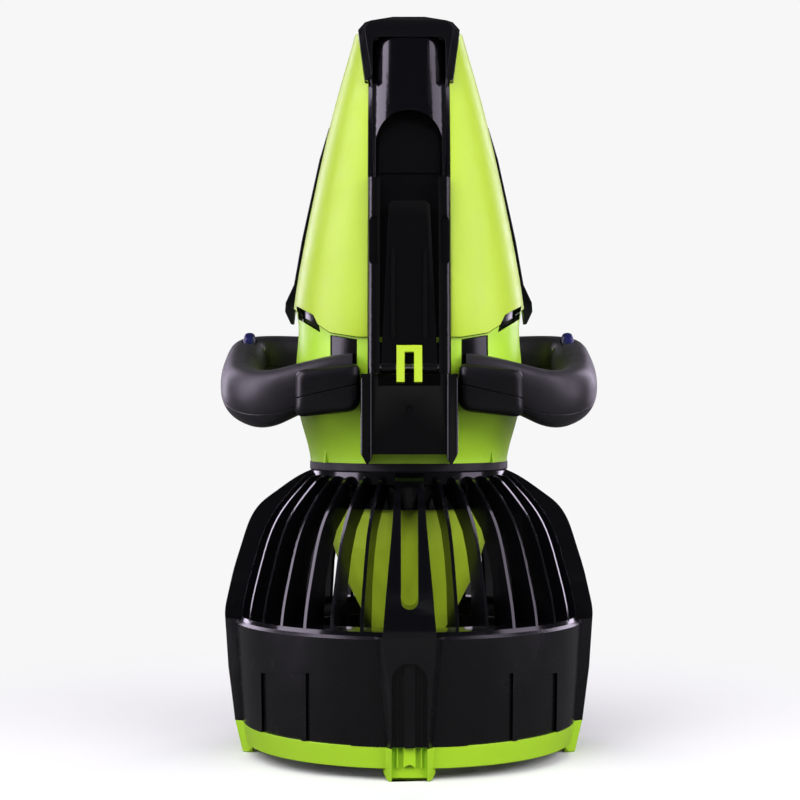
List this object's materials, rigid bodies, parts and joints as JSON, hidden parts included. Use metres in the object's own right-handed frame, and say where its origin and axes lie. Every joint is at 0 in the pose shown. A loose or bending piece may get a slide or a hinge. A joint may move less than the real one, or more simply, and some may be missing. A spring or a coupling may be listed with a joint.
{
  "type": "underwater scooter",
  "caption": "Hand-held underwater scooter standing on its stern: lift-off nose with latch, two grips with triggers, ribbed intake cage, ducted propeller.",
  "frame": {"origin": "on the propeller axis, at the floor under the stern's feet", "axes": "+Z from stern to nose along the propeller axis, -Y the latch side, X through the two grips"},
  "size_m": [0.3342, 0.3256, 0.65],
  "materials": {
    "lime_shell": "glossy lime moulded ABS",
    "lime_insert": "lime ABS, in shade",
    "duct_black": "satin black moulded ABS",
    "gloss_black": "glossy black moulded ABS",
    "satin_black": "fine satin black ABS",
    "soft_grip": "soft-touch overmould on a hard core",
    "trigger_navy": "navy moulded nylon",
    "seal_rubber": "nitrile rubber",
    "motor_steel": "turned steel",
    "magnet": "sintered ferrite",
    "stainless": "stainless steel",
    "prop_plastic": "glass-filled nylon",
    "electronics": "potted circuit board",
    "battery_wrap": "heat-shrink wrap",
    "float_foam": "closed-cell foam"
  },
  "bodies": {
    "hull": {"battery_housing": "satin_black", "battery_lid": "satin_black", "battery_lid_seal": "seal_rubber", "battery_pack": "battery_wrap", "cage_ribs": "gloss_black", "catch_block": "satin_black", "catch_screw": "stainless", "clamp_screws_left": "stainless", "clamp_screws_right": "stainless", "collar_screws": "stainless", "controller_board": "electronics", "field_magnets": "magnet", "handle_clamp_left": "soft_grip", "handle_clamp_right": "soft_grip", "handle_lower_left": "soft_grip", "handle_lower_right": "soft_grip", "handle_upper_left": "soft_grip", "handle_upper_right": "soft_grip", "hull_bulkhead": "satin_black", "intake_cage": "gloss_black", "keel_inserts": "lime_insert", "motor_can": "motor_steel", "neck_collar": "gloss_black", "propeller_tunnel": "duct_black", "rear_guard": "satin_black", "shaft_seal": "seal_rubber", "tail_bearing": "stainless", "tail_cone": "lime_shell", "tail_rim": "lime_shell", "thrust_duct": "duct_black", "trigger_pin_left": "stainless", "trigger_pin_right": "stainless", "trigger_spring_left": "stainless", "trigger_spring_right": "stainless", "trigger_switch_left": "electronics", "trigger_switch_right": "electronics", "upper_bearing": "stainless", "vent_trays": "satin_black", "waist_inlays": "satin_black", "waist_shell": "lime_shell"},
    "nose": {"nose_shell_left": "lime_shell", "nose_shell_right": "lime_shell", "nose_cap": "gloss_black", "spine_cover": "gloss_black", "rear_spine": "gloss_black", "latch_housing": "satin_black", "latch_pin": "stainless", "side_blade_left": "gloss_black", "side_blade_right": "gloss_black", "nose_float": "float_foam"},
    "latch_lever": {"latch_lever": "satin_black"},
    "lock_clip": {"lock_clip": "lime_shell"},
    "rotor": {"armature": "motor_steel", "drive_shaft": "stainless", "drive_pin": "stainless", "propeller": "prop_plastic", "prop_nut": "prop_plastic"},
    "trigger_left": {"trigger_left": "trigger_navy"},
    "trigger_right": {"trigger_right": "trigger_navy"}
  },
  "joints": [
    {"name": "nose_lift", "type": "slide", "parent": "hull", "child": "nose", "axis": [0, 0, 1], "range_m": [0, 0.22]},
    {"name": "lever_hinge", "type": "hinge", "parent": "nose", "child": "latch_lever", "pos_m": [0, -0.1155, 0.34], "axis": [1, 0, 0], "range_deg": [0, 88]},
    {"name": "lock_clip_hinge", "type": "hinge", "parent": "nose", "child": "lock_clip", "pos_m": [0, -0.1155, 0.34], "axis": [1, 0, 0], "range_deg": [0, 20]},
    {"name": "propeller_spin", "type": "hinge", "parent": "hull", "child": "rotor", "pos_m": [0, 0, 0.07], "axis": [0, 0, 1], "continuous": true},
    {"name": "trigger_left_pull", "type": "hinge", "parent": "hull", "child": "trigger_left", "pos_m": [-0.1425, 0.04707, 0.35866], "axis": [1, 0, 0], "range_deg": [0, 10], "stiffness_Nm_per_rad": 0.5, "springref_deg": -5.73},
    {"name": "trigger_right_pull", "type": "hinge", "parent": "hull", "child": "trigger_right", "pos_m": [0.1425, 0.04707, 0.35866], "axis": [1, 0, 0], "range_deg": [0, 10], "stiffness_Nm_per_rad": 0.5, "springref_deg": -5.73}
  ]
}
